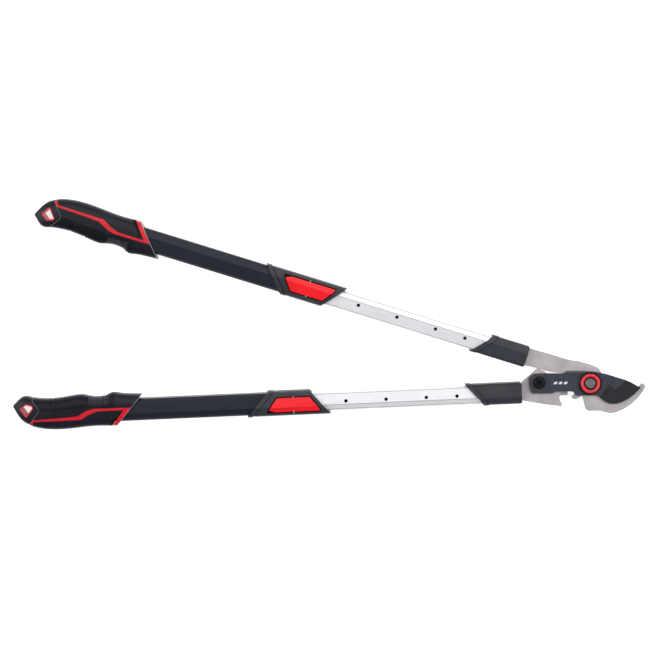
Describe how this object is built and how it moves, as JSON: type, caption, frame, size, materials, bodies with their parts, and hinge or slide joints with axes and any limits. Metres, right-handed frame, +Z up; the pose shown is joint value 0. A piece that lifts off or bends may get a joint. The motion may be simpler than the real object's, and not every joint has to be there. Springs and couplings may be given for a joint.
{
  "type": "bypass loppers",
  "caption": "Telescopic ratchet bypass loppers with a hooked jaw, a dark curved blade, push-button extending handles and black and red contoured grips",
  "frame": {"origin": "on the main pivot's axis, at the underside of the pivot bolt's head, level with the undersides of the grips", "axes": "+X toward the blade's tip, +Y toward the upper handle, +Z up from the surface the tool lies on, out of the side that shows the pivot nut and the lock buttons"},
  "size_m": [0.9999, 0.3643, 0.0353],
  "materials": {
    "grip_black": "satin moulded",
    "grip_soft": "soft matt",
    "charcoal_plastic": "moulded satin",
    "red_plastic": "moulded satin",
    "tube_black": "powder-coated satin",
    "tube_silver": "bright anodised",
    "jaw_steel": "sand-blasted",
    "blade_coating": "textured low-friction coating",
    "zinc_steel": "zinc plated",
    "spring_steel": "oiled",
    "black_steel": "black oxide"
  },
  "bodies": {
    "hook": {"hook_jaw": "jaw_steel", "ratchet_sector": "jaw_steel", "pivot_bolt": "zinc_steel", "pivot_bolt_washer": "zinc_steel", "pivot_bush": "zinc_steel", "pivot_washer": "black_steel", "pivot_ring": "red_plastic", "pivot_nut": "zinc_steel", "sector_rivet_1": "zinc_steel", "sector_rivet_2": "zinc_steel", "upper_ferrule": "charcoal_plastic", "upper_inner_tube": "tube_silver", "upper_shank_rivet_1": "zinc_steel", "upper_shank_rivet_2": "zinc_steel", "upper_tube_plug": "grip_black"},
    "blade": {"cutting_blade": "blade_coating", "tang_bolt": "black_steel", "tang_washer": "black_steel", "tang_nut": "zinc_steel", "tang_nut_washer": "zinc_steel"},
    "lower_lever": {"lower_head": "jaw_steel", "pawl_pin": "zinc_steel", "pawl_stop": "zinc_steel", "pawl_spring": "spring_steel", "lower_ferrule": "charcoal_plastic", "lower_inner_tube": "tube_silver", "lower_shank_rivet_1": "zinc_steel", "lower_shank_rivet_2": "zinc_steel", "lower_tube_plug": "grip_black"},
    "pawl": {"ratchet_pawl": "jaw_steel"},
    "upper_slider": {"upper_outer_tube": "tube_black", "upper_collar": "charcoal_plastic", "upper_collar_screw": "zinc_steel", "upper_button_pin": "zinc_steel", "upper_button_spring": "spring_steel", "upper_grip_cover": "grip_black", "upper_grip_pad": "grip_soft", "upper_grip_band": "red_plastic", "upper_grip_stripe": "red_plastic", "upper_hang_liner": "red_plastic"},
    "lower_slider": {"lower_outer_tube": "tube_black", "lower_collar": "charcoal_plastic", "lower_collar_screw": "zinc_steel", "lower_button_pin": "zinc_steel", "lower_button_spring": "spring_steel", "lower_grip_cover": "grip_black", "lower_grip_pad": "grip_soft", "lower_grip_band": "red_plastic", "lower_grip_stripe": "red_plastic", "lower_hang_liner": "red_plastic"},
    "upper_button": {"upper_lock_button": "red_plastic", "upper_lock_peg": "zinc_steel"},
    "lower_button": {"lower_lock_button": "red_plastic", "lower_lock_peg": "zinc_steel"}
  },
  "joints": [
    {"name": "blade_pivot", "type": "hinge", "parent": "hook", "child": "blade", "pos_m": [0, 0, 0.0225], "axis": [0, 0, 1], "range_deg": [0, 44]},
    {"name": "lever_pivot", "type": "hinge", "parent": "blade", "child": "lower_lever", "pos_m": [-0.0805, 0.0009, 0.017], "axis": [0, 0, 1], "range_deg": [0, 30]},
    {"name": "pawl_pivot", "type": "hinge", "parent": "lower_lever", "child": "pawl", "pos_m": [-0.061, -0.0095, 0.01135], "axis": [0, 0, 1], "range_deg": [-12, 0], "stiffness_Nm_per_rad": 0.05, "springref_deg": 11.46, "deforming": ["pawl_spring"]},
    {"name": "upper_slide", "type": "slide", "parent": "hook", "child": "upper_slider", "axis": [0.9552, -0.2959, 0], "range_m": [0, 0.239], "deforming": ["upper_lock_peg"]},
    {"name": "lower_slide", "type": "slide", "parent": "lower_lever", "child": "lower_slider", "axis": [0.999, 0.0436, 0], "range_m": [0, 0.239], "deforming": ["lower_lock_peg"]},
    {"name": "upper_lock_button_press", "type": "hinge", "parent": "upper_slider", "child": "upper_button", "pos_m": [-0.44552, 0.14847, 0.0318], "axis": [-0.2959, -0.9552, 0], "range_deg": [0, 4.5], "stiffness_Nm_per_rad": 0.4, "springref_deg": -2.29, "deforming": ["upper_button_spring"]},
    {"name": "lower_lock_button_press", "type": "hinge", "parent": "lower_slider", "child": "lower_button", "pos_m": [-0.46857, -0.03147, 0.0318], "axis": [0.0436, -0.999, 0], "range_deg": [0, 4.5], "stiffness_Nm_per_rad": 0.4, "springref_deg": -2.29, "deforming": ["lower_button_spring"]}
  ]
}
